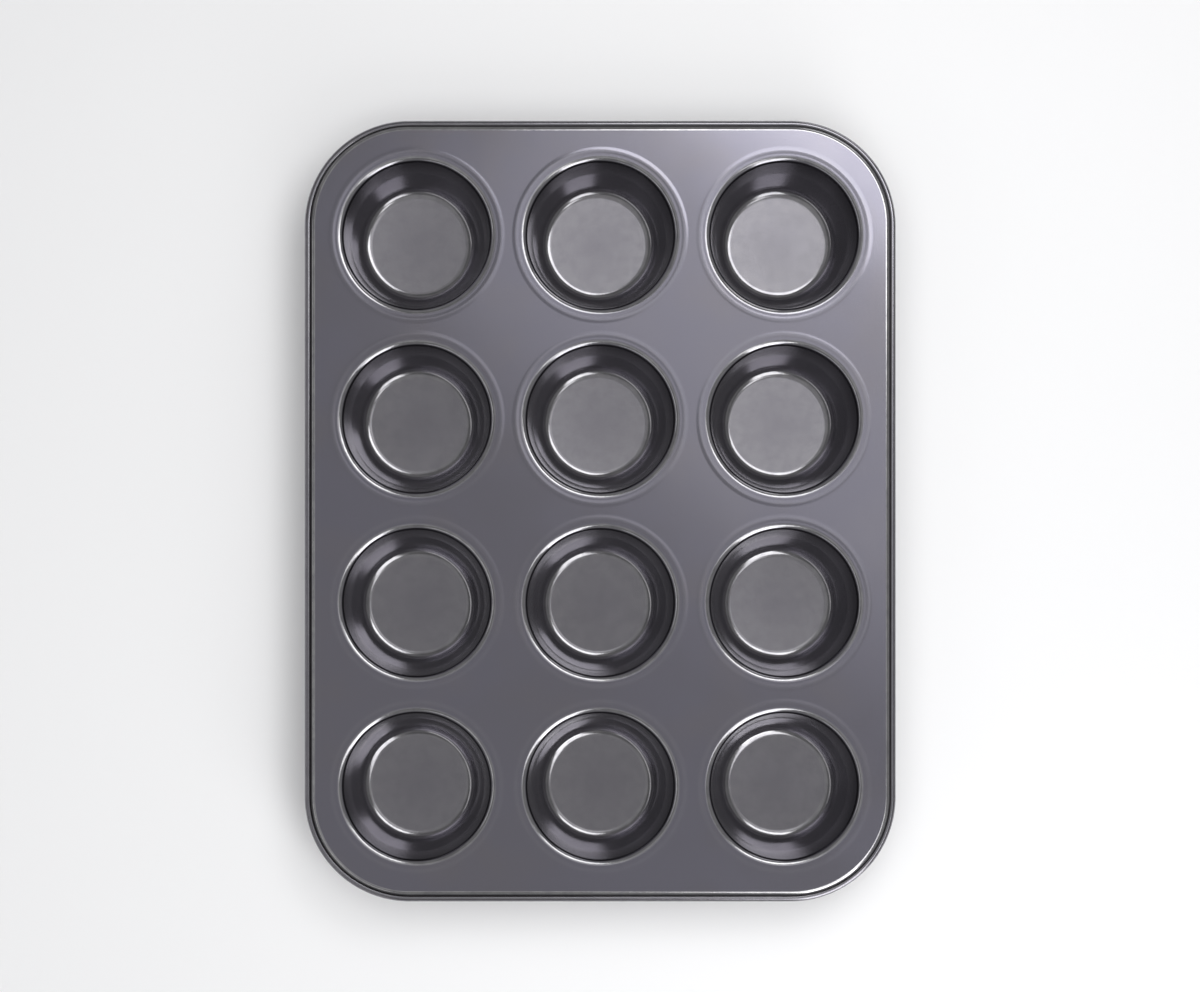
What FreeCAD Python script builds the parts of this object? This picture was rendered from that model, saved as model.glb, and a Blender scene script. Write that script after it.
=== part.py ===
import FreeCAD, Part

import math
import os

# Muffin tin: one pressing of thin steel sheet with rows of drawn cups, its edge turned down and rolled
# round a loop of wire. Millimetres. +Z is up, the rows follow one another along Y, and the origin is in
# the middle of the tin on the surface it stands on, so the cup undersides are at z = 0.

# Sheet and depth
SHEET = 0.4  # thickness of the coated steel sheet
DECK_HEIGHT = 30.0  # from the cup undersides to the top of the deck

# Cups
CUP_ROWS = 4  # along Y
CUP_COLUMNS = 3  # along X
CUP_MOUTH_RADIUS = 33.8  # where the line of the wall meets the top of the deck
CUP_FLOOR_RADIUS = 24.6  # where the line of the wall meets the top of the floor
LIP_BEND_RADIUS = 1.8  # visible side of the bend from deck to wall
FLOOR_BEND_RADIUS = 3.2  # visible side of the bend from wall to floor

# Draw ring: the faint raised ring that pressing leaves round each mouth
DRAW_RING_OFFSET = 4.1  # from the mouth out to the crest
DRAW_RING_HALF_WIDTH = 1.5  # crest to foot
DRAW_RING_HEIGHT = 0.2
DRAW_RING_BEND_RADIUS = 6.0
DRAWN_ZONE_MARGIN = 0.5  # flat sheet counted with the cup, outside the foot of the ring

# Flat deck left between the drawn zones and round them
DECK_WEB = 2.4  # narrowest, between two neighbouring cups
DECK_SIDE_STRIP = 5.5  # from the cups of the outer columns to the edge bend
DECK_END_STRIP = 6.9  # from the cups of the first and last row to the edge bend

# Rim: deck edge turned down into a skirt, then rolled outward round the wire
WIRE_RADIUS = 1.1
WIRE_CLEARANCE = 0.05  # between the wire and the roll around it
DECK_EDGE_BEND_RADIUS = 2.2  # visible side of the bend from deck to skirt
ROLL_DROP = 2.0  # from the top of the deck down to the top of the roll
ROLL_END_ANGLE = 120.0  # degrees from straight out, counted up, where the rolled edge stops
RIM_CORNER_RADIUS = 47.0  # in plan, to the outside of the roll

# Sizes that follow from those above
DRAW_RING_RADIUS = CUP_MOUTH_RADIUS + DRAW_RING_OFFSET
DRAWN_ZONE_RADIUS = DRAW_RING_RADIUS + DRAW_RING_HALF_WIDTH + DRAWN_ZONE_MARGIN
CUP_PITCH = 2.0 * DRAWN_ZONE_RADIUS + DECK_WEB
ROLL_INNER_RADIUS = WIRE_RADIUS + WIRE_CLEARANCE
ROLL_OUTER_RADIUS = ROLL_INNER_RADIUS + SHEET
ROLL_CENTRE_HEIGHT = DECK_HEIGHT - ROLL_DROP - ROLL_OUTER_RADIUS
SKIRT_INSET = ROLL_OUTER_RADIUS + ROLL_INNER_RADIUS  # from the tin's outer edge in to the skirt
DECK_EDGE_INSET = SKIRT_INSET + DECK_EDGE_BEND_RADIUS  # in to where the flat deck ends
DECK_WIDTH = (CUP_COLUMNS - 1) * CUP_PITCH + 2.0 * (DRAWN_ZONE_RADIUS + DECK_SIDE_STRIP)
DECK_LENGTH = (CUP_ROWS - 1) * CUP_PITCH + 2.0 * (DRAWN_ZONE_RADIUS + DECK_END_STRIP)
DECK_CORNER_RADIUS = RIM_CORNER_RADIUS - DECK_EDGE_INSET
TIN_WIDTH = DECK_WIDTH + 2.0 * DECK_EDGE_INSET  # 265 over the roll
TIN_LENGTH = DECK_LENGTH + 2.0 * DECK_EDGE_INSET  # 350 over the roll


QUARTER_TURN = 90.0
HALF_TURN = 180.0
FULL_TURN = 360.0
ORIGIN = FreeCAD.Vector(0.0, 0.0, 0.0)
UP = FreeCAD.Vector(0.0, 0.0, 1.0)
DIRECTION_TOLERANCE = 1e-6


def point(radius, height):
    """A point of an upright section, at a distance from its axis and at a height."""
    return FreeCAD.Vector(radius, 0.0, height)


def underside_normal(start, end):
    """The unit vector square to a run of the visible face, pointing into the sheet."""
    run = (end - start).normalize()
    return FreeCAD.Vector(run.z, 0.0, -run.x)


def underside_points(face_points):
    """The corners of the sheet's underside, one sheet thickness from those of its visible face."""
    normals = [underside_normal(a, b) for a, b in zip(face_points, face_points[1:])]
    offsets = [normals[0]]
    for first, second in zip(normals, normals[1:]):
        offsets.append((first + second) * (1.0 / (1.0 + first.dot(second))))
    offsets.append(normals[-1])
    return [corner + offset * SHEET for corner, offset in zip(face_points, offsets)]


def underside_radii(face_points, face_radii):
    """The bend radii of the underside: smaller where the sheet bends down, larger where it bends up."""
    radii = []
    for before, corner, after, radius in zip(face_points, face_points[1:], face_points[2:], face_radii):
        bends_down = (after - corner).dot(underside_normal(before, corner)) > 0.0
        radii.append(radius - SHEET if bends_down else radius + SHEET)
    return radii


def rounded_line(corners, radii):
    """Edges along a line of corners, with an arc of the given radius at each inner corner."""
    edges = []
    start = corners[0]
    for before, corner, after, radius in zip(corners, corners[1:], corners[2:], radii):
        back = (before - corner).normalize()
        ahead = (after - corner).normalize()
        half_angle = back.getAngle(ahead) / 2.0
        tangent_length = radius / math.tan(half_angle)
        bisector = (back + ahead).normalize()
        centre = corner + bisector * (radius / math.sin(half_angle))
        arc_start = corner + back * tangent_length
        arc_end = corner + ahead * tangent_length
        edges.append(Part.makeLine(start, arc_start))
        edges.append(Part.Arc(arc_start, centre - bisector * radius, arc_end).toShape())
        start = arc_end
    edges.append(Part.makeLine(start, corners[-1]))
    return edges


def sheet_section(face_points, face_radii):
    """The closed section of the sheet, from the corners and bend radii of its visible face."""
    under_points = underside_points(face_points)
    edges = rounded_line(face_points, face_radii)
    edges += rounded_line(under_points, underside_radii(face_points, face_radii))
    edges.append(Part.makeLine(face_points[0], under_points[0]))
    edges.append(Part.makeLine(face_points[-1], under_points[-1]))
    return Part.Face(Part.Wire(Part.__sortEdges__(edges)))


def arc_about(centre, radius, start_angle, end_angle):
    """An arc in an upright section, between two angles in degrees counted from straight out."""
    at = []
    for angle in (start_angle, (start_angle + end_angle) / 2.0, end_angle):
        turned = math.radians(angle)
        at.append(centre + point(radius * math.cos(turned), radius * math.sin(turned)))
    return Part.Arc(*at).toShape()


def swept_round_rectangle(section):
    """Carry an upright section right round the tin's edge.

    The section is drawn with x = 0 at the centre of the plan corner and x = RIM_CORNER_RADIUS at the
    tin's outer edge. Each side is a straight run of it and each corner a quarter turn.
    """
    reach_x = TIN_WIDTH / 2.0 - RIM_CORNER_RADIUS
    reach_y = TIN_LENGTH / 2.0 - RIM_CORNER_RADIUS
    runs = []
    for quarter, (sign_x, sign_y) in enumerate(((1, 1), (-1, 1), (-1, -1), (1, -1))):
        corner = FreeCAD.Vector(sign_x * reach_x, sign_y * reach_y, 0.0)
        turned = section.copy()
        turned.rotate(ORIGIN, UP, QUARTER_TURN * quarter)
        turned.translate(corner)
        runs.append(turned.revolve(corner, UP, QUARTER_TURN))
        along_y = quarter % 2 == 0
        length = 2.0 * (reach_y if along_y else reach_x)
        # each side runs from its corner to the next one, clockwise seen from above
        step = FreeCAD.Vector(0.0, -sign_y, 0.0) if along_y else FreeCAD.Vector(-sign_x, 0.0, 0.0)
        runs.append(turned.extrude(step * length))
    return runs[0].fuse(runs[1:]).removeSplitter()


def is_upright(edge):
    """Whether a straight edge stands along Z."""
    direction = edge.tangentAt(edge.FirstParameter)
    return direction.cross(UP).Length < DIRECTION_TOLERANCE


def cup_centres():
    """Yield the row, the column and the axis position of each cup, row 1 at the +Y end."""
    for row in range(CUP_ROWS):
        for column in range(CUP_COLUMNS):
            x = (column - (CUP_COLUMNS - 1) / 2.0) * CUP_PITCH
            y = ((CUP_ROWS - 1) / 2.0 - row) * CUP_PITCH
            yield row + 1, column + 1, FreeCAD.Vector(x, y, 0.0)


def make_cup():
    """One drawn cup about the Z axis: floor, tapered wall, rounded lip and draw ring."""
    ring_inner_foot = DRAW_RING_RADIUS - DRAW_RING_HALF_WIDTH
    ring_outer_foot = DRAW_RING_RADIUS + DRAW_RING_HALF_WIDTH
    face_points = [
        point(0.0, SHEET),
        point(CUP_FLOOR_RADIUS, SHEET),
        point(CUP_MOUTH_RADIUS, DECK_HEIGHT),
        point(ring_inner_foot, DECK_HEIGHT),
        point(DRAW_RING_RADIUS, DECK_HEIGHT + DRAW_RING_HEIGHT),
        point(ring_outer_foot, DECK_HEIGHT),
        point(DRAWN_ZONE_RADIUS, DECK_HEIGHT),
    ]
    face_radii = [FLOOR_BEND_RADIUS, LIP_BEND_RADIUS] + [DRAW_RING_BEND_RADIUS] * 3
    section = sheet_section(face_points, face_radii)
    return section.revolve(ORIGIN, UP, FULL_TURN)


def make_deck():
    """The flat deck between the drawn zones, out to where its edge turns down."""
    underside = DECK_HEIGHT - SHEET
    low_corner = FreeCAD.Vector(-DECK_WIDTH / 2.0, -DECK_LENGTH / 2.0, underside)
    plate = Part.makeBox(DECK_WIDTH, DECK_LENGTH, SHEET, low_corner)
    corners = [edge for edge in plate.Edges if is_upright(edge)]
    plate = plate.makeFillet(DECK_CORNER_RADIUS, corners)
    lift = FreeCAD.Vector(0.0, 0.0, underside)
    zones = []
    for _row, _column, centre in cup_centres():
        zones.append(Part.makeCylinder(DRAWN_ZONE_RADIUS, SHEET, centre + lift))
    return plate.cut(Part.makeCompound(zones))


def roll_centre():
    """The middle of the roll in its section, where the wire lies."""
    return point(RIM_CORNER_RADIUS - ROLL_OUTER_RADIUS, ROLL_CENTRE_HEIGHT)


def make_rolled_rim():
    """The deck's edge bend, the skirt below it and the roll that wraps the wire."""
    bend_centre = point(DECK_CORNER_RADIUS, DECK_HEIGHT - DECK_EDGE_BEND_RADIUS)
    skirt_face = RIM_CORNER_RADIUS - SKIRT_INSET
    skirt_back = skirt_face - SHEET
    underside = DECK_HEIGHT - SHEET
    roll_end = FULL_TURN + ROLL_END_ANGLE
    outer_roll = arc_about(roll_centre(), ROLL_OUTER_RADIUS, HALF_TURN, roll_end)
    inner_roll = arc_about(roll_centre(), ROLL_INNER_RADIUS, HALF_TURN, roll_end)
    edges = [
        arc_about(bend_centre, DECK_EDGE_BEND_RADIUS, QUARTER_TURN, 0.0),
        Part.makeLine(point(skirt_face, bend_centre.z), point(skirt_face, ROLL_CENTRE_HEIGHT)),
        inner_roll,
        Part.makeLine(inner_roll.Vertexes[-1].Point, outer_roll.Vertexes[-1].Point),
        outer_roll,
        Part.makeLine(point(skirt_back, ROLL_CENTRE_HEIGHT), point(skirt_back, bend_centre.z)),
        arc_about(bend_centre, DECK_EDGE_BEND_RADIUS - SHEET, 0.0, QUARTER_TURN),
        Part.makeLine(point(DECK_CORNER_RADIUS, underside), point(DECK_CORNER_RADIUS, DECK_HEIGHT)),
    ]
    return swept_round_rectangle(Part.Face(Part.Wire(Part.__sortEdges__(edges))))


def make_rim_wire():
    """The closed loop of round wire inside the roll."""
    circle = Part.makeCircle(WIRE_RADIUS, roll_centre(), FreeCAD.Vector(0.0, 1.0, 0.0))
    return swept_round_rectangle(Part.Face(Part.Wire([circle])))


def save(name, shape):
    """Write one piece as a STEP file named after its node."""
    shape.exportStep(os.path.join("parts", name + ".step"))


def main():
    """Build every piece and write it."""
    os.makedirs("parts", exist_ok=True)
    cup = make_cup()
    for row, column, centre in cup_centres():
        placed = cup.copy()
        placed.translate(centre)
        save(f"cup_r{row}_c{column}", placed)
    save("deck", make_deck())
    save("rolled_rim", make_rolled_rim())
    save("rim_wire", make_rim_wire())


main()
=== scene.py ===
"""Looks for a pressed-steel muffin tin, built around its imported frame.

The tin is one pressing of thin sheet: a flat deck, round cups drawn in rows, and an edge turned down and
rolled round a wire. Each zone of the pressing is a piece of its own here, and neighbouring pieces meet on
shared points, so the coating runs on across them. Metres, +Z up, cup undersides at z = 0.
"""

import logging
import math
import random
from dataclasses import dataclass, field
from enum import Enum
from typing import Iterable, Sequence

import bmesh
import bpy
from bmesh.types import BMEdge, BMesh, BMVert
from mathutils import Matrix, Vector


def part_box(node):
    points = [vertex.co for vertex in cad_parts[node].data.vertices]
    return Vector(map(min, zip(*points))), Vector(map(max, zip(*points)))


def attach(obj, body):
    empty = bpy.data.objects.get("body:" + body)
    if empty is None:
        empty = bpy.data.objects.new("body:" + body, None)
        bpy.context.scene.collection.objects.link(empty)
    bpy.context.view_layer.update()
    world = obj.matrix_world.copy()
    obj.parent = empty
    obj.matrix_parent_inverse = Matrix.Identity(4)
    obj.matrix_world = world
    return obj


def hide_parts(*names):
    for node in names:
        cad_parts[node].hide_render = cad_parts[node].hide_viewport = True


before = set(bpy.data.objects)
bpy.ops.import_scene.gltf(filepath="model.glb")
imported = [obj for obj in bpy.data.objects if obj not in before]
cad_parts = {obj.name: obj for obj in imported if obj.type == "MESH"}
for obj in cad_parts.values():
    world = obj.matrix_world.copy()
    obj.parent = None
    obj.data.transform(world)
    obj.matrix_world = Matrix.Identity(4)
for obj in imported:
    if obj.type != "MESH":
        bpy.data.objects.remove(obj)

LOG = logging.getLogger("muffin_tin")
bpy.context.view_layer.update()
MM = 0.001
UP = Vector((0.0, 0.0, 1.0))
QUARTER_TURN = math.pi / 2.0
FULL_TURN = 2.0 * math.pi
WELD_DISTANCE = 1e-6
HAIR = 0.005 * MM
# Vertex layer of polish from handling, partly painted highlight: it lightens the coat on the bends where
# highlights fall.
WEAR_AND_HIGHLIGHT_LAYER = "wear_and_highlight"
# Vertex layer of painted shade: it darkens the coat on bends and the roll where they lie in shade or reflect
# dark.
PAINTED_SHADE_LAYER = "painted_shade"
DECK_HEIGHT = 30.0 * MM
ROWS = range(1, 5)
COLUMNS = range(1, 4)
CHANCE_SEED = 7

Colour = tuple[float, float, float, float]
Steps = tuple[tuple[float, float], ...]


class Slot(Enum):
    """Names of the record's material slots."""

    CUP = "coated_cup"
    DECK = "coated_deck"
    RIM = "coated_rim"
    WIRE = "bare_wire"


class Socket(Enum):
    """Kinds of socket on a shader node group."""

    NUMBER = "NodeSocketFloat"
    COLOUR = "NodeSocketColor"


@dataclass(frozen=True)
class Sheet:
    """The steel sheet that the tin is pressed from, coating counted in."""

    thickness: float = 0.4 * MM
    deck_height: float = DECK_HEIGHT


# ---------------------------------------------------------------------------------------------------------
# Mesh tools
# ---------------------------------------------------------------------------------------------------------


def spin(mesh: BMesh, moved: Sequence[BMVert | BMEdge], centre: Vector, axis: Sequence[float], angle: float,
         steps: int, merge: bool = False) -> list:
    """Carry vertices and edges round an axis, leaving faces or edges behind.

    Args:
        mesh: the mesh that holds them.
        moved: what is carried.
        centre: a point on the axis.
        axis: its direction.
        angle: how far, in radians.
        steps: how many straight pieces the way is cut into.
        merge: whether a full turn closes on where it began.

    Returns:
        What was carried, at the end of its way.
    """
    spun = bmesh.ops.spin(
        mesh, geom=moved, cent=centre, axis=axis, angle=angle, steps=steps, use_merge=merge,
        use_normal_flip=False, use_duplicate=False,
    )
    return spun["geom_last"]


@dataclass
class SectionPen:
    """Draws an upright section line in the XZ plane of a mesh, in straight runs and bends."""

    mesh: BMesh
    tip: BMVert
    heading: Vector
    verts: list[BMVert] = field(default_factory=list)
    edges: list[BMEdge] = field(default_factory=list)

    @classmethod
    def at(cls, mesh: BMesh, start: Vector, heading: Vector) -> "SectionPen":
        """Put the pen down.

        Args:
            mesh: the mesh to draw in.
            start: where the line begins.
            heading: the way it sets off, in the XZ plane.

        Returns:
            The pen.
        """
        tip = mesh.verts.new(start)
        return cls(mesh, tip, heading.normalized(), [tip])

    def run(self, length: float) -> None:
        """Draw straight on.

        Args:
            length: how far, in metres; nothing is drawn when it is next to none.
        """
        if length < WELD_DISTANCE:
            return
        grown = bmesh.ops.extrude_vert_indiv(self.mesh, verts=[self.tip])
        self.tip = grown["verts"][0]
        bmesh.ops.translate(self.mesh, verts=[self.tip], vec=self.heading * length)
        self.verts.append(self.tip)
        self.edges += grown["edges"]

    def bend(self, radius: float, angle: float, steps: int) -> None:
        """Draw an arc that starts along the heading.

        Args:
            radius: of the drawn line.
            angle: how far the heading turns, positive towards +Z from +X.
            steps: straight pieces in the arc.
        """
        side = math.copysign(1.0, angle)
        to_centre = Vector((-self.heading.z, 0.0, self.heading.x)) * side
        centre = self.tip.co + to_centre * radius
        known = set(self.mesh.verts)
        known_edges = set(self.mesh.edges)
        carried = spin(self.mesh, [self.tip], centre, (0.0, -1.0, 0.0), angle, steps)
        self.verts += [v for v in self.mesh.verts if v not in known]
        self.edges += [e for e in self.mesh.edges if e not in known_edges]
        self.tip = next(item for item in carried if isinstance(item, BMVert))
        self.heading = Matrix.Rotation(-angle, 3, "Y") @ self.heading

    def follow(self, corners: Sequence[Vector], radii: Sequence[float], steps: Sequence[int]) -> None:
        """Draw a line of corners with a bend at each one but the last.

        Args:
            corners: where the straight runs would cross, and the end of the line.
            radii: bend radius at each corner but the last.
            steps: straight pieces in each bend.
        """
        taken = 0.0
        previous = self.tip.co.copy()
        for corner, after, radius, count in zip(corners, corners[1:], radii, steps):
            ahead = (after - corner).normalized()
            angle = math.atan2(
                self.heading.x * ahead.z - self.heading.z * ahead.x, self.heading.dot(ahead)
            )
            tangent_length = radius * math.tan(abs(angle) / 2.0)
            self.run((corner - previous).length - taken - tangent_length)
            self.bend(radius, angle, count)
            taken = tangent_length
            previous = corner
        self.run((corners[-1] - previous).length - taken)


@dataclass(frozen=True)
class RoundRectangle:
    """The tin's outline in plan: straight sides with quarter-round corners."""

    half_width: float
    half_length: float
    corner_radius: float
    corner_steps: int = 40

    def corner_centre(self, sign_x: int, sign_y: int) -> Vector:
        """Find the middle of one corner's arc.

        Args:
            sign_x: 1 for a corner on the +X side, -1 for one on the -X side.
            sign_y: the same along Y.

        Returns:
            The arc's middle, at z = 0.
        """
        across = self.half_width - self.corner_radius
        along = self.half_length - self.corner_radius
        return Vector((sign_x * across, sign_y * along, 0.0))

    def start(self) -> Vector:
        """The axis of the +X+Y corner, from which a section to be swept is set out along +X."""
        return self.corner_centre(1, 1)

    def sweep(self, mesh: BMesh, section: Iterable[BMVert | BMEdge]) -> None:
        """Carry a section once round the outline, counter-clockwise from the +X+Y corner.

        Args:
            mesh: the mesh that holds the section.
            section: its vertices and edges, standing where the +X side meets the first corner.
        """
        front = list(section)
        for sign_x, sign_y in ((1, 1), (-1, 1), (-1, -1), (1, -1)):
            centre = self.corner_centre(sign_x, sign_y)
            front = spin(mesh, front, centre, UP, QUARTER_TURN, self.corner_steps)
            along_x = sign_x == sign_y
            reach = self.half_width if along_x else self.half_length
            direction = Vector((-sign_x, 0.0, 0.0)) if along_x else Vector((0.0, -sign_y, 0.0))
            front = self.straight(mesh, front, direction * 2.0 * (reach - self.corner_radius))

    def straight(self, mesh: BMesh, front: list, step: Vector) -> list:
        """Draw the section out along one side.

        Args:
            mesh: the mesh that holds the section.
            front: the section's vertices and edges.
            step: the side as a vector.

        Returns:
            The section at the side's far end.
        """
        edges = [item for item in front if isinstance(item, BMEdge)]
        if edges:
            grown = bmesh.ops.extrude_edge_only(mesh, edges=edges)["geom"]
        else:
            drawn = bmesh.ops.extrude_vert_indiv(mesh, verts=[v for v in front if isinstance(v, BMVert)])
            grown = drawn["verts"]
        verts = [item for item in grown if isinstance(item, BMVert)]
        bmesh.ops.translate(mesh, verts=verts, vec=step)
        new = set(verts)
        return verts + [e for e in grown if isinstance(e, BMEdge) and set(e.verts) <= new]


def finish_mesh(mesh: BMesh, name: str, closed: bool) -> bpy.types.Object:
    """Weld, turn outward, smooth and hand over a finished mesh.

    Args:
        mesh: the mesh, which is freed.
        name: the piece's name.
        closed: whether it is a closed solid already; if not, its open edges are marked sharp, so that the
            sheet's cut edges stay crisp once it has its thickness.

    Returns:
        The new object, linked to the scene.
    """
    bmesh.ops.remove_doubles(mesh, verts=mesh.verts, dist=WELD_DISTANCE)
    bmesh.ops.recalc_face_normals(mesh, faces=mesh.faces)
    if not closed and sum(f.normal.z * f.calc_area() for f in mesh.faces) < 0.0:
        bmesh.ops.reverse_faces(mesh, faces=mesh.faces)
    for face in mesh.faces:
        face.smooth = True
    for edge in mesh.edges:
        edge.smooth = not edge.is_boundary
    data = bpy.data.meshes.new(name)
    mesh.to_mesh(data)
    mesh.free()
    piece = bpy.data.objects.new(name, data)
    bpy.context.scene.collection.objects.link(piece)
    return piece


def give_thickness(piece: bpy.types.Object, thickness: float) -> None:
    """Turn a drawn face into sheet, with its thickness on the side away from the normals.

    Args:
        piece: the object that holds the drawn face.
        thickness: of the sheet, in metres.
    """
    solidify = piece.modifiers.new("sheet", "SOLIDIFY")
    solidify.thickness = thickness
    solidify.offset = -1.0
    solidify.use_even_offset = True
    solidify.use_quality_normals = True
    solidify.use_rim = True


# ---------------------------------------------------------------------------------------------------------
# Finishes
# ---------------------------------------------------------------------------------------------------------


@dataclass
class NodeGraph:
    """Adds and joins nodes in one node tree."""

    tree: bpy.types.NodeTree

    def add(self, kind: str, **settings: object) -> bpy.types.Node:
        """Add a node.

        Args:
            kind: the node's type.
            **settings: attributes of the node and their values.

        Returns:
            The node.
        """
        node = self.tree.nodes.new(kind)
        for key, value in settings.items():
            setattr(node, key, value)
        return node

    def join(self, source: bpy.types.NodeSocket, target: bpy.types.NodeSocket) -> None:
        """Link an output, source, to an input, target."""
        self.tree.links.new(source, target)

    def math(self, operation: str, first: object, second: object, clamp: bool = False
             ) -> bpy.types.NodeSocket:
        """Add a math node.

        Args:
            operation: the node's operation.
            first: a number or an output.
            second: a number or an output.
            clamp: whether the result is kept between 0 and 1.

        Returns:
            The node's output.
        """
        node = self.add("ShaderNodeMath", operation=operation, use_clamp=clamp)
        for socket, value in zip(node.inputs, (first, second)):
            if isinstance(value, bpy.types.NodeSocket):
                self.join(value, socket)
            else:
                socket.default_value = value
        return node.outputs[0]

    def noise(self, vector: bpy.types.NodeSocket, scale: object, detail: float, roughness: float = 0.5
              ) -> bpy.types.Node:
        """Add a noise texture.

        Args:
            vector: where it is read.
            scale: features per metre, a number or an output.
            detail: octaves.
            roughness: how strong the finer octaves are.

        Returns:
            The node.
        """
        node = self.add("ShaderNodeTexNoise")
        self.join(vector, node.inputs["Vector"])
        if isinstance(scale, bpy.types.NodeSocket):
            self.join(scale, node.inputs["Scale"])
        else:
            node.inputs["Scale"].default_value = scale
        node.inputs["Detail"].default_value = detail
        node.inputs["Roughness"].default_value = roughness
        return node

    def mix_colour(self, factor: object, first: object, second: object) -> bpy.types.NodeSocket:
        """Mix two colours.

        Args:
            factor: a number or an output.
            first: the colour or output at 0.
            second: the colour or output at 1.

        Returns:
            The mixed colour.
        """
        node = self.add("ShaderNodeMix", data_type="RGBA")
        for socket, value in ((node.inputs[0], factor), (node.inputs[6], first), (node.inputs[7], second)):
            if isinstance(value, bpy.types.NodeSocket):
                self.join(value, socket)
            else:
                socket.default_value = value
        return node.outputs[2]

    def remap(self, value: bpy.types.NodeSocket, low: float, high: float, to_low: float = 0.0,
              to_high: float = 1.0) -> bpy.types.NodeSocket:
        """Map a range onto another, held at both ends.

        Args:
            value: the output to map.
            low: the value that becomes to_low.
            high: the value that becomes to_high.
            to_low: the result at low and below.
            to_high: the result at high and above.

        Returns:
            The mapped output.
        """
        node = self.add("ShaderNodeMapRange")
        self.join(value, node.inputs["Value"])
        for name, number in (("From Min", low), ("From Max", high), ("To Min", to_low), ("To Max", to_high)):
            node.inputs[name].default_value = number
        return node.outputs["Result"]


    def object_place(self) -> bpy.types.NodeSocket:
        """Add texture coordinates and return the point on the object, in metres."""
        return self.add("ShaderNodeTexCoord").outputs["Object"]

    def bump(self, height: bpy.types.NodeSocket, shader: bpy.types.Node) -> None:
        """Roughen a shader's surface.

        Args:
            height: how far it stands proud, in metres.
            shader: the shader whose normal it turns.
        """
        bump = self.add("ShaderNodeBump")
        bump.inputs["Distance"].default_value = 1.0
        self.join(height, bump.inputs["Height"])
        self.join(bump.outputs["Normal"], shader.inputs["Normal"])


def new_material(name: str) -> tuple[bpy.types.Material, NodeGraph, bpy.types.Node]:
    """Make a material.

    Args:
        name: the material's name.

    Returns:
        The material, its graph and its shader.
    """
    material = bpy.data.materials.new(name)
    material.use_nodes = True
    return material, NodeGraph(material.node_tree), material.node_tree.nodes["Principled BSDF"]


@dataclass(frozen=True)
class EffectGroup:
    """A shader node group with named inputs and outputs."""

    name: str
    inputs: tuple[tuple[str, Socket, object], ...]
    outputs: tuple[tuple[str, Socket], ...]

    def new_tree(self) -> tuple[NodeGraph, bpy.types.Node, bpy.types.Node]:
        """Make the empty group.

        Returns:
            The graph, its input node and its output node.
        """
        tree = bpy.data.node_groups.new(self.name, "ShaderNodeTree")
        for name, kind, default in self.inputs:
            socket = tree.interface.new_socket(name=name, in_out="INPUT", socket_type=kind.value)
            socket.default_value = default
        for name, kind in self.outputs:
            tree.interface.new_socket(name=name, in_out="OUTPUT", socket_type=kind.value)
        graph = NodeGraph(tree)
        return graph, graph.add("NodeGroupInput"), graph.add("NodeGroupOutput")


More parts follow.
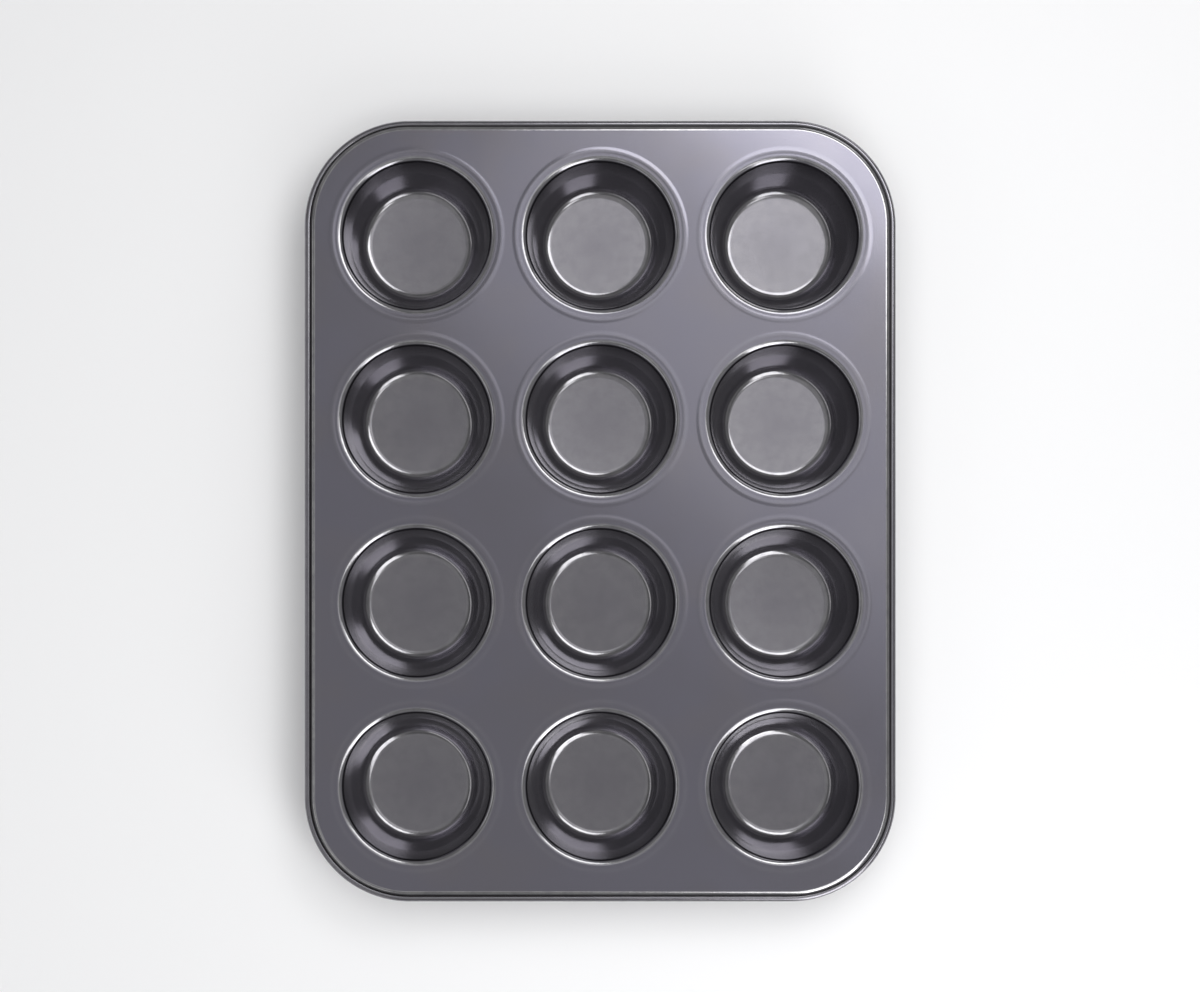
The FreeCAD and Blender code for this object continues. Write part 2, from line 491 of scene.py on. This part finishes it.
class Effects:
    """The node groups that the coated and bare steel share, each built once.

    Ranges are the stretch of a noise's values that is spread over 0 to 1.
    """

    PEBBLE_ROUGHNESS = 0.6
    SPECK_RANGE = (0.35, 0.7)
    BROAD_PATCHES_PER_METRE = 22.0
    BROAD_PATCH_RANGE = (0.38, 0.62)
    WARM_PATCHES_PER_METRE = 31.0
    WARM_PATCH_RANGE = (0.5, 0.68)
    WARM_PATCH_SHIFT = (0.7, 1.3, 0.2)
    BREAK_OCTAVES = 4.0
    BREAK_ROUGHNESS = 0.65
    BREAK_RANGE = (0.35, 0.6)
    LEAST_LEFT_BY_BREAKS = 0.6

    def __init__(self) -> None:
        """Build the three groups."""
        self.grain = self.build_grain()
        self.patches = self.build_patches()
        self.rub_and_highlight = self.build_rub_and_highlight()

    def build_grain(self) -> bpy.types.NodeTree:
        """Fine pebble of a sprayed and baked coat: its height, a mask of its specks and its slow waves.

        Returns:
            The group's tree.
        """
        group = EffectGroup(
            "sprayed_grain",
            (("Pebbles per metre", Socket.NUMBER, 1400.0), ("Waves per metre", Socket.NUMBER, 60.0)),
            (("Height", Socket.NUMBER), ("Specks", Socket.NUMBER), ("Waves", Socket.NUMBER)),
        )
        graph, given, result = group.new_tree()
        place = graph.object_place()
        pebble_noise = graph.noise(place, given.outputs["Pebbles per metre"], 2.0, self.PEBBLE_ROUGHNESS)
        pebbles = pebble_noise.outputs["Fac"]
        waves = graph.noise(place, given.outputs["Waves per metre"], 1.0).outputs["Fac"]
        graph.join(pebbles, result.inputs["Height"])
        graph.join(graph.remap(pebbles, *self.SPECK_RANGE), result.inputs["Specks"])
        graph.join(waves, result.inputs["Waves"])
        return graph.tree

    def build_patches(self) -> bpy.types.NodeTree:
        """Slow drift of the coat's tint and sheen over the tin.

        Returns:
            The group's tree.
        """
        group = EffectGroup(
            "tint_patches",
            (
                ("Tint", Socket.COLOUR, (0.3, 0.3, 0.3, 1.0)),
                ("Cool", Socket.COLOUR, (0.3, 0.3, 0.35, 1.0)),
                ("Warm", Socket.COLOUR, (0.33, 0.3, 0.3, 1.0)),
                ("Strength", Socket.NUMBER, 0.5),
            ),
            (("Colour", Socket.COLOUR), ("Mask", Socket.NUMBER)),
        )
        graph, given, result = group.new_tree()
        place = graph.object_place()
        broad_noise = graph.noise(place, self.BROAD_PATCHES_PER_METRE, 2.0)
        broad = graph.remap(broad_noise.outputs["Fac"], *self.BROAD_PATCH_RANGE)
        moved = graph.add("ShaderNodeMapping")
        moved.inputs["Location"].default_value = self.WARM_PATCH_SHIFT
        graph.join(place, moved.inputs["Vector"])
        warm_noise = graph.noise(moved.outputs["Vector"], self.WARM_PATCHES_PER_METRE, 2.0)
        warm = graph.remap(warm_noise.outputs["Fac"], *self.WARM_PATCH_RANGE)
        strength = given.outputs["Strength"]
        cool_share = graph.math("MULTIPLY", broad, strength)
        cooled = graph.mix_colour(cool_share, given.outputs["Tint"], given.outputs["Cool"])
        warm_share = graph.math("MULTIPLY", warm, strength)
        warmed = graph.mix_colour(warm_share, cooled, given.outputs["Warm"])
        graph.join(warmed, result.inputs["Colour"])
        graph.join(broad, result.inputs["Mask"])
        return graph.tree

    def build_rub_and_highlight(self) -> bpy.types.NodeTree:
        """Polish from handling, partly painted highlight on the bends: the piece's layer of it broken up by
        noise.

        Returns:
            The group's tree.
        """
        group = EffectGroup(
            "edge_rub_and_highlight",
            (("Amount", Socket.NUMBER, 0.5), ("Breaks per metre", Socket.NUMBER, 160.0)),
            (("Mask", Socket.NUMBER),),
        )
        graph, given, result = group.new_tree()
        place = graph.object_place()
        worn_and_highlit = graph.add("ShaderNodeAttribute", attribute_name=WEAR_AND_HIGHLIGHT_LAYER).outputs["Fac"]
        noise = graph.noise(
            place, given.outputs["Breaks per metre"], self.BREAK_OCTAVES, self.BREAK_ROUGHNESS
        )
        breaks = graph.remap(noise.outputs["Fac"], *self.BREAK_RANGE, self.LEAST_LEFT_BY_BREAKS)
        broken = graph.math("MULTIPLY", worn_and_highlit, breaks)
        rubbed_and_highlit = graph.math("MULTIPLY", broken, given.outputs["Amount"], clamp=True)
        graph.join(rubbed_and_highlit, result.inputs["Mask"])
        return graph.tree


@dataclass(frozen=True)
class CoatedSteel:
    """Dark grey non-stick coat with metal flake, satin, on pressed steel."""

    name: str
    tint: Colour = (0.243, 0.235, 0.276, 1.0)
    cool: Colour = (0.236, 0.230, 0.284, 1.0)
    warm: Colour = (0.252, 0.239, 0.268, 1.0)
    # Light, more reflective colour: polish from handling, partly painted highlight on the lip, floor bend
    # and edge crest.
    rubbed_and_highlit: Colour = (0.58, 0.575, 0.585, 1.0)
    sunken: Colour = (0.247, 0.238, 0.266, 1.0)
    # Near-black painted shade for the dark line under the lip and for the edge's bend, skirt and roll.
    painted_shade_colour: Colour = (0.028, 0.027, 0.031, 1.0)
    sunken_low: float = 27.0 * MM
    sunken_high: float = 29.6 * MM
    sunken_share: float = 0.85
    metallic: float = 0.9
    roughness: float = 0.165
    roughness_drift: float = 0.02
    speck_roughness: float = 0.03
    rubbed_smoothness: float = 0.03
    grain_height: float = 0.004 * MM
    wave_height: float = 0.01 * MM
    rub_and_highlight_amount: float = 1.0

    def build(self, effects: Effects) -> bpy.types.Material:
        """Make the material.

        Args:
            effects: the shared node groups.

        Returns:
            The material.
        """
        material, graph, shader = new_material(self.name)
        grain = graph.add("ShaderNodeGroup", node_tree=effects.grain)
        patches = graph.add("ShaderNodeGroup", node_tree=effects.patches)
        rub_and_highlight = graph.add("ShaderNodeGroup", node_tree=effects.rub_and_highlight)
        patches.inputs["Tint"].default_value = self.tint
        patches.inputs["Cool"].default_value = self.cool
        patches.inputs["Warm"].default_value = self.warm
        rub_and_highlight.inputs["Amount"].default_value = self.rub_and_highlight_amount
        place = graph.add("ShaderNodeSeparateXYZ")
        graph.join(graph.object_place(), place.inputs[0])
        depth = graph.remap(place.outputs["Z"], self.sunken_low, self.sunken_high, self.sunken_share, 0.0)
        coat = graph.mix_colour(depth, patches.outputs["Colour"], self.sunken)
        # Polish from handling and painted highlight lighten the coat.
        worn_and_highlit = graph.mix_colour(rub_and_highlight.outputs["Mask"], coat, self.rubbed_and_highlit)
        # Painted shade darkens the coat where its layer says.
        painted_shade = graph.add("ShaderNodeAttribute", attribute_name=PAINTED_SHADE_LAYER).outputs["Fac"]
        graph.join(graph.mix_colour(painted_shade, worn_and_highlit, self.painted_shade_colour), shader.inputs["Base Color"])
        low, high = self.roughness - self.roughness_drift, self.roughness + self.roughness_drift
        drift = graph.remap(patches.outputs["Mask"], 0.0, 1.0, low, high)
        specks = graph.math("MULTIPLY", grain.outputs["Specks"], self.speck_roughness)
        speckled = graph.math("ADD", drift, specks)
        polish = graph.math("MULTIPLY", rub_and_highlight.outputs["Mask"], self.rubbed_smoothness)
        graph.join(graph.math("SUBTRACT", speckled, polish), shader.inputs["Roughness"])
        shader.inputs["Metallic"].default_value = self.metallic
        pebbles = graph.math("MULTIPLY", grain.outputs["Height"], self.grain_height)
        waves = graph.math("MULTIPLY", grain.outputs["Waves"], self.wave_height)
        graph.bump(graph.math("ADD", pebbles, waves), shader)
        return material


@dataclass(frozen=True)
class DrawnWire:
    """Bare drawn steel wire, lightly dulled."""

    name: str = "drawn_steel_wire"
    bright: Colour = (0.56, 0.55, 0.53, 1.0)
    dull: Colour = (0.36, 0.35, 0.34, 1.0)
    roughness: float = 0.34
    speck_roughness: float = 0.12
    pebbles_per_metre: float = 2400.0
    grain_height: float = 0.003 * MM

    def build(self, effects: Effects) -> bpy.types.Material:
        """Make the material.

        Args:
            effects: the shared node groups.

        Returns:
            The material.
        """
        material, graph, shader = new_material(self.name)
        grain = graph.add("ShaderNodeGroup", node_tree=effects.grain)
        grain.inputs["Pebbles per metre"].default_value = self.pebbles_per_metre
        colour = graph.mix_colour(grain.outputs["Waves"], self.bright, self.dull)
        graph.join(colour, shader.inputs["Base Color"])
        low, high = self.roughness, self.roughness + self.speck_roughness
        graph.join(graph.remap(grain.outputs["Specks"], 0.0, 1.0, low, high), shader.inputs["Roughness"])
        shader.inputs["Metallic"].default_value = 1.0
        graph.bump(graph.math("MULTIPLY", grain.outputs["Height"], self.grain_height), shader)
        return material


@dataclass(frozen=True)
class PaleFloor:
    """Smooth, nearly white tabletop."""

    name: str = "pale_floor"
    tone: Colour = (0.9, 0.9, 0.91, 1.0)
    shade: Colour = (0.88, 0.88, 0.89, 1.0)
    roughness: float = 0.5
    mottles_per_metre: float = 3.0
    mottle_octaves: float = 3.0

    def build(self) -> bpy.types.Material:
        """Make the material.

        Returns:
            The material.
        """
        material, graph, shader = new_material(self.name)
        mottle = graph.noise(graph.object_place(), self.mottles_per_metre, self.mottle_octaves)
        colour = graph.mix_colour(mottle.outputs["Fac"], self.tone, self.shade)
        graph.join(colour, shader.inputs["Base Color"])
        shader.inputs["Roughness"].default_value = self.roughness
        return material


# ---------------------------------------------------------------------------------------------------------
# Pieces of the tin
# ---------------------------------------------------------------------------------------------------------


def hand_over(piece: bpy.types.Object, material: bpy.types.Material, node: str) -> None:
    """Dress a piece, put it on the tin's body and let it stand for its frame node.

    Args:
        piece: the finished object.
        material: its finish.
        node: the frame node that it replaces.
    """
    piece.data.materials.append(material)
    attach(piece, "root")
    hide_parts(node)
    LOG.info("%s: %d faces, for %s", piece.name, len(piece.data.polygons), node)


def mark_painted_shade(mesh: BMesh, top: float, steps: Steps) -> None:
    """Paint shade into the coat: darken it by depth below the deck, on bends that lie in shade or reflect
    dark.

    Args:
        mesh: the mesh to mark.
        top: height of the deck.
        steps: pairs of depth below the deck and amount of painted shade, in order of depth.
    """
    layer = mesh.verts.layers.float.new(PAINTED_SHADE_LAYER)
    for vert in mesh.verts:
        depth = top - vert.co.z
        vert[layer] = steps[0][1] if depth < steps[0][0] else steps[-1][1]
        for (low, before), (high, after) in zip(steps, steps[1:]):
            if low <= depth <= high:
                vert[layer] = before + (after - before) * (depth - low) / (high - low)


@dataclass(frozen=True)
class CupShape:
    """Section of a drawn cup, given by its visible face."""

    sheet: Sheet
    mouth_radius: float = 33.15 * MM
    belly_radius: float = 30.1 * MM
    belly_height: float = 15.5 * MM
    floor_radius: float = 25.2 * MM
    floor_bend: float = 5.3 * MM
    belly_bend: float = 18.0 * MM
    lip_bend: float = 3.1 * MM
    ring_offset: float = 4.75 * MM
    ring_half_width: float = 1.5 * MM
    ring_height: float = 0.19 * MM
    ring_bend: float = 6.0 * MM
    zone_margin: float = 0.5 * MM
    bend_steps: tuple[int, ...] = (14, 5, 12, 3, 5, 3)
    steps_round: int = 160
    # Painted shade: the dark line just inside the lip, deepest 1.1 to 2 mm below the deck.
    painted_shade_by_depth: Steps = (
        (0.0, 0.0), (0.75 * MM, 0.0), (1.1 * MM, 0.92), (2.0 * MM, 0.92), (3.2 * MM, 0.0)
    )

    @property
    def ring_radius(self) -> float:
        """From the cup's axis to the crest of the draw ring."""
        return self.mouth_radius + self.ring_offset

    @property
    def zone_radius(self) -> float:
        """From the cup's axis to where the drawn zone ends in the flat deck."""
        return self.ring_radius + self.ring_half_width + self.zone_margin

    def corners(self) -> list[Vector]:
        """Place the corners of the visible face's line.

        Returns:
            The corners, from the floor out to the deck.
        """
        low, high = self.sheet.thickness, self.sheet.deck_height
        places = (
            (self.floor_radius, low),
            (self.belly_radius, self.belly_height),
            (self.mouth_radius, high),
            (self.ring_radius - self.ring_half_width, high),
            (self.ring_radius, high + self.ring_height),
            (self.ring_radius + self.ring_half_width, high),
            (self.zone_radius, high),
        )
        return [Vector((radius, 0.0, height)) for radius, height in places]

    def radii(self) -> list[float]:
        """Bend radius at each corner but the last."""
        return [self.floor_bend, self.belly_bend, self.lip_bend] + [self.ring_bend] * 3


@dataclass(frozen=True)
class CupRubAndHighlight:
    """How much polish from handling and painted highlight a cup has, and where: bands placed by shares of
    the radius of the bend they are on.
    """

    lip_middle: float = 0.42
    lip_reach: float = 0.4
    ring: float = 0.08
    floor: float = 0.06
    floor_bend: float = 0.6
    floor_bend_middle: float = 0.35
    floor_bend_reach: float = 0.5

    @staticmethod
    def band(distance: float, reach: float) -> float:
        """How far inside a band a point lies: 1 in its middle, 0 at its reach and beyond."""
        return max(0.0, 1.0 - abs(distance) / reach)


@dataclass
class Cup:
    """One drawn cup with its lip and draw ring."""

    shape: CupShape
    row: int
    column: int
    chance: random.Random
    rub_and_highlight: CupRubAndHighlight = CupRubAndHighlight()
    ring_lost_by_row: float = 0.19
    ring_slack: tuple[float, float] = (0.2, 0.6)

    @property
    def node(self) -> str:
        """The frame node that this cup stands for."""
        return f"cup_r{self.row}_c{self.column}"

    def axis(self) -> Vector:
        """Where the cup's axis meets the ground, from the frame."""
        low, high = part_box(self.node)
        return Vector(((low[0] + high[0]) / 2.0, (low[1] + high[1]) / 2.0, 0.0))

    def build(self) -> bpy.types.Object:
        """Draw the section, spin it and press the ring unevenly.

        Returns:
            The cup's object.
        """
        mesh = bmesh.new()
        wear_and_highlight = mesh.verts.layers.float.new(WEAR_AND_HIGHLIGHT_LAYER)
        centre = self.axis()
        start = centre + UP * self.shape.sheet.thickness
        pen = SectionPen.at(mesh, start, Vector((1.0, 0.0, 0.0)))
        corners = [centre + corner for corner in self.shape.corners()]
        pen.follow(corners, self.shape.radii(), self.shape.bend_steps)
        spin(mesh, pen.verts + pen.edges, centre, UP, FULL_TURN, self.shape.steps_round, merge=True)
        self.press_unevenly(mesh, centre)
        # Polish from handling, partly painted highlight, on the lip and the floor bend.
        self.mark_wear_and_highlight(mesh, wear_and_highlight, centre)
        # Painted shade along the dark line under the lip.
        mark_painted_shade(mesh, self.shape.sheet.deck_height, self.shape.painted_shade_by_depth)
        piece = finish_mesh(mesh, f"pressed_{self.node}", closed=False)
        give_thickness(piece, self.shape.sheet.thickness)
        return piece

    def press_unevenly(self, mesh: BMesh, centre: Vector) -> None:
        """Lower the draw ring from row to row, and on one side more than on the other.

        Args:
            mesh: the cup's mesh.
            centre: where the cup's axis meets the ground.
        """
        turn = self.chance.uniform(0.0, FULL_TURN)
        slack = self.chance.uniform(*self.ring_slack)
        height = 1.0 - self.ring_lost_by_row * self.row
        deck = self.shape.sheet.deck_height
        for vert in mesh.verts:
            proud = vert.co.z - deck
            if proud > 0.0:
                around = math.atan2(vert.co.y - centre.y, vert.co.x - centre.x)
                slackest = 0.5 + 0.5 * math.cos(around - turn)
                vert.co.z = deck + proud * height * (1.0 - slack * slackest)

    def mark_wear_and_highlight(self, mesh: BMesh, wear_and_highlight: object, centre: Vector) -> None:
        """Note how much polish and painted highlight each point has: the lip and the floor bend most, the
        ring a little.

        Args:
            mesh: the cup's mesh.
            wear_and_highlight: the vertex layer that holds the polish and painted highlight.
            centre: where the cup's axis meets the ground.
        """
        shape, rub_and_highlight = self.shape, self.rub_and_highlight
        lip_middle = shape.mouth_radius + rub_and_highlight.lip_middle * shape.lip_bend
        floor_middle = shape.floor_radius - rub_and_highlight.floor_bend_middle * shape.floor_bend
        for vert in mesh.verts:
            radius = (vert.co - centre).xy.length
            depth = shape.sheet.deck_height - vert.co.z
            if depth < shape.lip_bend:
                lip = rub_and_highlight.band(radius - lip_middle, rub_and_highlight.lip_reach * shape.lip_bend)
                ring = rub_and_highlight.band(radius - shape.ring_radius, shape.ring_half_width)
                vert[wear_and_highlight] = min(1.0, lip + rub_and_highlight.ring * ring)
            elif depth > shape.sheet.deck_height - shape.floor_bend:
                bend = rub_and_highlight.band(radius - floor_middle, rub_and_highlight.floor_bend_reach * shape.floor_bend)
                vert[wear_and_highlight] = rub_and_highlight.floor + rub_and_highlight.floor_bend * bend
            else:
                vert[wear_and_highlight] = 0.0


@dataclass(frozen=True)
class RimShape:
    """Section of the tin's edge: bend, skirt and roll, given by the face that the wire lies against."""

    sheet: Sheet
    edge_bend: float = 2.2 * MM
    wire_radius: float = 1.1 * MM
    wire_clearance: float = 0.05 * MM
    roll_drop: float = 2.0 * MM
    roll_end: float = math.radians(120.0)
    corner_radius: float = 47.0 * MM
    # Painted shade: the lower bend and the skirt black, the roll's underside a little dark.
    painted_shade_by_depth: Steps = (
        (0.0, 0.0), (0.35 * MM, 0.0), (0.65 * MM, 1.0), (1.98 * MM, 1.0), (2.02 * MM, 0.0), (2.6 * MM, 0.0),
        (3.0 * MM, 0.25), (3.6 * MM, 0.3), (5.0 * MM, 0.2),
    )

    @property
    def roll_inner(self) -> float:
        """Radius of the roll's face towards the wire."""
        return self.wire_radius + self.wire_clearance

    @property
    def roll_outer(self) -> float:
        """Radius of the roll's outside."""
        return self.roll_inner + self.sheet.thickness

    @property
    def roll_height(self) -> float:
        """Height of the wire's centre line."""
        return self.sheet.deck_height - self.roll_drop - self.roll_outer

    @property
    def deck_inset(self) -> float:
        """From the tin's outer edge in to where the flat deck ends."""
        return self.roll_outer + self.roll_inner + self.edge_bend

    def outline(self) -> RoundRectangle:
        """Take the outside of the roll in plan from the frame's box.

        Returns:
            The outline, a hair inside that box.
        """
        low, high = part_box("rolled_rim")
        half_width, half_length = ((high[axis] - low[axis]) / 2.0 - HAIR for axis in (0, 1))
        return RoundRectangle(half_width, half_length, self.corner_radius)


@dataclass
class Deck:
    """The flat sheet between the drawn cups."""

    cup_shape: CupShape
    rim_shape: RimShape
    cups: list[Cup]

    def build(self) -> bpy.types.Object:
        """Fill the outline round the cups' circles.

        Returns:
            The deck's object.
        """
        mesh = bmesh.new()
        mesh.verts.layers.float.new(WEAR_AND_HIGHLIGHT_LAYER)
        mesh.verts.layers.float.new(PAINTED_SHADE_LAYER)
        height = UP * self.rim_shape.sheet.deck_height
        outline = self.rim_shape.outline()
        reach = self.rim_shape.corner_radius - self.rim_shape.deck_inset
        first = mesh.verts.new(outline.start() + Vector((reach, 0.0, 0.0)) + height)
        outline.sweep(mesh, [first])
        for cup in self.cups:
            rim = mesh.verts.new(cup.axis() + Vector((self.cup_shape.zone_radius, 0.0, 0.0)) + height)
            spin(mesh, [rim], cup.axis(), UP, FULL_TURN, self.cup_shape.steps_round, merge=True)
        bmesh.ops.remove_doubles(mesh, verts=mesh.verts, dist=WELD_DISTANCE)
        bmesh.ops.triangle_fill(mesh, edges=mesh.edges, use_beauty=True, use_dissolve=False, normal=UP)
        piece = finish_mesh(mesh, "pressed_deck", closed=False)
        give_thickness(piece, self.rim_shape.sheet.thickness)
        return piece


@dataclass
class RolledEdge:
    """The turned-down and rolled edge all round the tin."""

    shape: RimShape
    bend_steps: int = 14
    roll_steps: int = 40
    # Polish from handling on the crest, partly painted highlight along the edge bend; the sides a little.
    crest_rub_and_highlight: float = 0.9
    side_rub_and_highlight: float = 0.25
    crest_share: float = 0.5

    def build(self) -> bpy.types.Object:
        """Draw the section and sweep it round.

        Returns:
            The edge's object.
        """
        mesh = bmesh.new()
        wear_and_highlight = mesh.verts.layers.float.new(WEAR_AND_HIGHLIGHT_LAYER)
        outline = self.shape.outline()
        reach = self.shape.corner_radius - self.shape.deck_inset
        start = outline.start() + Vector((reach, 0.0, self.shape.sheet.deck_height))
        pen = SectionPen.at(mesh, start, Vector((1.0, 0.0, 0.0)))
        pen.bend(self.shape.edge_bend, -QUARTER_TURN, self.bend_steps)
        pen.run(pen.tip.co.z - self.shape.roll_height)
        pen.bend(self.shape.roll_inner, math.pi + self.shape.roll_end, self.roll_steps)
        outline.sweep(mesh, pen.verts + pen.edges)
        # Polish and painted highlight, strongest on the crest of the edge bend.
        crest = self.shape.sheet.deck_height - self.crest_share * self.shape.edge_bend
        for vert in mesh.verts:
            vert[wear_and_highlight] = self.crest_rub_and_highlight if vert.co.z > crest else self.side_rub_and_highlight
        # Painted shade on the bend, skirt and roll.
        mark_painted_shade(mesh, self.shape.sheet.deck_height, self.shape.painted_shade_by_depth)
        piece = finish_mesh(mesh, "rolled_edge", closed=False)
        give_thickness(piece, self.shape.sheet.thickness)
        return piece


@dataclass
class EdgeWire:
    """The wire loop inside the roll."""

    shape: RimShape
    steps_round: int = 20

    def build(self) -> bpy.types.Object:
        """Sweep a circle round the roll's centre line.

        Returns:
            The wire's object.
        """
        mesh = bmesh.new()
        outline = self.shape.outline()
        centre = outline.start() + Vector((
            self.shape.corner_radius - self.shape.roll_outer, 0.0, self.shape.roll_height
        ))
        upright = Matrix.Translation(centre) @ Matrix.Rotation(QUARTER_TURN, 4, "X")
        circle = bmesh.ops.create_circle(
            mesh, cap_ends=False, segments=self.steps_round, radius=self.shape.wire_radius, matrix=upright
        )
        outline.sweep(mesh, list(circle["verts"]) + list(mesh.edges))
        return finish_mesh(mesh, "edge_wire", closed=True)


# ---------------------------------------------------------------------------------------------------------
# Studio
# ---------------------------------------------------------------------------------------------------------


@dataclass(frozen=True)
class Softbox:
    """One flat soft light, given by its brightness rather than its power."""

    name: str
    place: tuple[float, float, float]
    width: float
    height: float
    glow: float
    aim: tuple[float, float, float] = (0.0, 0.0, DECK_HEIGHT)
    in_gloss: bool = True

    @classmethod
    def on_dome(cls, name: str, bearing: float, elevation: float, reach: float, width: float,
                height: float, glow: float) -> "Softbox":
        """Place a light by direction from the middle of the tin.

        Args:
            name: the light's name.
            bearing: degrees counter-clockwise from +X.
            elevation: degrees above level.
            reach: distance from the middle of the deck.
            width: its level side.
            height: its other side.
            glow: its brightness, where 1 is a white sheet in full light.

        Returns:
            The light, aimed at the middle of the deck.
        """
        turn, tilt = math.radians(bearing), math.radians(elevation)
        level = reach * math.cos(tilt)
        place = (level * math.cos(turn), level * math.sin(turn), DECK_HEIGHT + reach * math.sin(tilt))
        return cls(name, place, width, height, glow)

    def build(self) -> bpy.types.Object:
        """Hang the light, its long side level.

        Returns:
            The light's object.
        """
        data = bpy.data.lights.new(self.name, "AREA")
        data.shape = "RECTANGLE"
        data.size = self.width
        data.size_y = self.height
        data.energy = math.pi * self.width * self.height * self.glow
        light = bpy.data.objects.new(self.name, data)
        direction = Vector(self.aim) - Vector(self.place)
        light.rotation_euler = direction.to_track_quat("-Z", "Y").to_euler()
        light.location = self.place
        light.visible_glossy = self.in_gloss
        bpy.context.scene.collection.objects.link(light)
        return light


@dataclass(frozen=True)
class Overhead:
    """The camera that looks straight down on the deck."""

    foot: tuple[float, float] = (-38.0 * MM, -60.0 * MM)
    distance: float = 1.09
    view_width: float = 536.4 * MM
    view_centre: tuple[float, float] = (-0.2 * MM, 6.6 * MM)
    sensor: float = 36.0

    def build(self, deck_height: float) -> bpy.types.Object:
        """Place the camera and make it the scene's.

        Args:
            deck_height: height of the plane that the view width is measured on.

        Returns:
            The camera's object.
        """
        data = bpy.data.cameras.new("overhead_camera")
        data.sensor_width = self.sensor
        data.lens = self.sensor * self.distance / self.view_width
        data.shift_x = (self.view_centre[0] - self.foot[0]) / self.view_width
        data.shift_y = (self.view_centre[1] - self.foot[1]) / self.view_width
        camera = bpy.data.objects.new("overhead_camera", data)
        camera.location = (self.foot[0], self.foot[1], deck_height + self.distance)
        bpy.context.scene.collection.objects.link(camera)
        bpy.context.scene.camera = camera
        return camera


@dataclass(frozen=True)
class Studio:
    """Pale floor, soft lights and camera."""

    sheet: Sheet
    floor_size: float = 6.0
    floor_cells: int = 4
    floor_gap: float = 0.02 * MM
    surround_steps: Steps = (
        (0.0, 0.20), (0.30, 0.20), (0.60, 0.16), (0.74, 0.10), (0.88, 0.11), (1.0, 0.2)
    )
    lights: tuple[Softbox, ...] = (
        Softbox.on_dome("upper_right_softbox", 56.0, 56.0, 0.8, 0.56, 0.26, 2.7),
        Softbox.on_dome("upper_right_low_softbox", 60.0, 12.0, 0.8, 0.40, 0.20, 1.0),
        Softbox.on_dome("lower_right_softbox", 300.0, 44.0, 0.8, 0.40, 0.30, 2.3),
        Softbox.on_dome("lower_right_low_softbox", 300.0, 22.0, 0.8, 0.36, 0.26, 4.0),
        Softbox("far_right_softbox", (0.72, -0.56, 1.8), 0.4, 0.4, 1.9),
        Softbox.on_dome("left_strip_light", 208.0, 34.0, 0.8, 1.4, 0.14, 0.65),
        Softbox.on_dome("ceiling_corner", 50.0, 76.0, 1.5, 0.7, 0.4, 0.6),
        Softbox("ceiling", (0.0, 0.0, 1.9), 2.4, 2.4, 0.172, (0.0, 0.0, 0.0)),
        Softbox("floor_fill", (0.0, 0.0, 2.2), 3.0, 3.0, 1.3, (0.0, 0.0, 0.0), False),
    )

    def build(self) -> None:
        """Lay the floor, hang the lights, and set the surround and the camera."""
        mesh = bmesh.new()
        lowered = Matrix.Translation((0.0, 0.0, -self.floor_gap))
        bmesh.ops.create_grid(
            mesh, x_segments=self.floor_cells, y_segments=self.floor_cells, size=self.floor_size / 2.0,
            matrix=lowered,
        )
        floor = finish_mesh(mesh, "floor", closed=False)
        floor.data.materials.append(PaleFloor().build())
        for light in self.lights:
            light.build()
        bpy.context.scene.world = self.surround()
        bpy.context.scene.view_settings.view_transform = "Standard"
        Overhead().build(self.sheet.deck_height)

    def surround(self) -> bpy.types.World:
        """The room beyond the lights: dimmest a little below overhead.

        Returns:
            The world.
        """
        world = bpy.data.worlds.new("soft_surround")
        world.use_nodes = True
        graph = NodeGraph(world.node_tree)
        direction = graph.add("ShaderNodeTexCoord")
        split = graph.add("ShaderNodeSeparateXYZ")
        graph.join(direction.outputs["Generated"], split.inputs[0])
        ramp = graph.add("ShaderNodeValToRGB")
        stops = ramp.color_ramp.elements
        while len(stops) < len(self.surround_steps):
            stops.new(1.0)
        for stop, (height, glow) in zip(stops, self.surround_steps):
            stop.position = height
            stop.color = (glow, glow, glow, 1.0)
        graph.join(split.outputs["Z"], ramp.inputs["Fac"])
        background = world.node_tree.nodes["Background"]
        graph.join(ramp.outputs["Color"], background.inputs["Color"])
        return world


# ---------------------------------------------------------------------------------------------------------


def main() -> None:
    """Build the tin piece by piece, then the studio."""
    logging.basicConfig(level=logging.INFO, format="%(message)s")
    sheet = Sheet()
    cup_shape = CupShape(sheet)
    rim_shape = RimShape(sheet)
    effects = Effects()
    coat = CoatedSteel("nonstick_coat").build(effects)
    wire = DrawnWire().build(effects)
    chance = random.Random(CHANCE_SEED)
    cups = [Cup(cup_shape, row, column, chance) for row in ROWS for column in COLUMNS]
    for cup in cups:
        hand_over(cup.build(), coat, cup.node)
    hand_over(Deck(cup_shape, rim_shape, cups).build(), coat, "deck")
    hand_over(RolledEdge(rim_shape).build(), coat, "rolled_rim")
    hand_over(EdgeWire(rim_shape).build(), wire, "rim_wire")
    Studio(sheet).build()


if __name__ == "__main__":
    main()
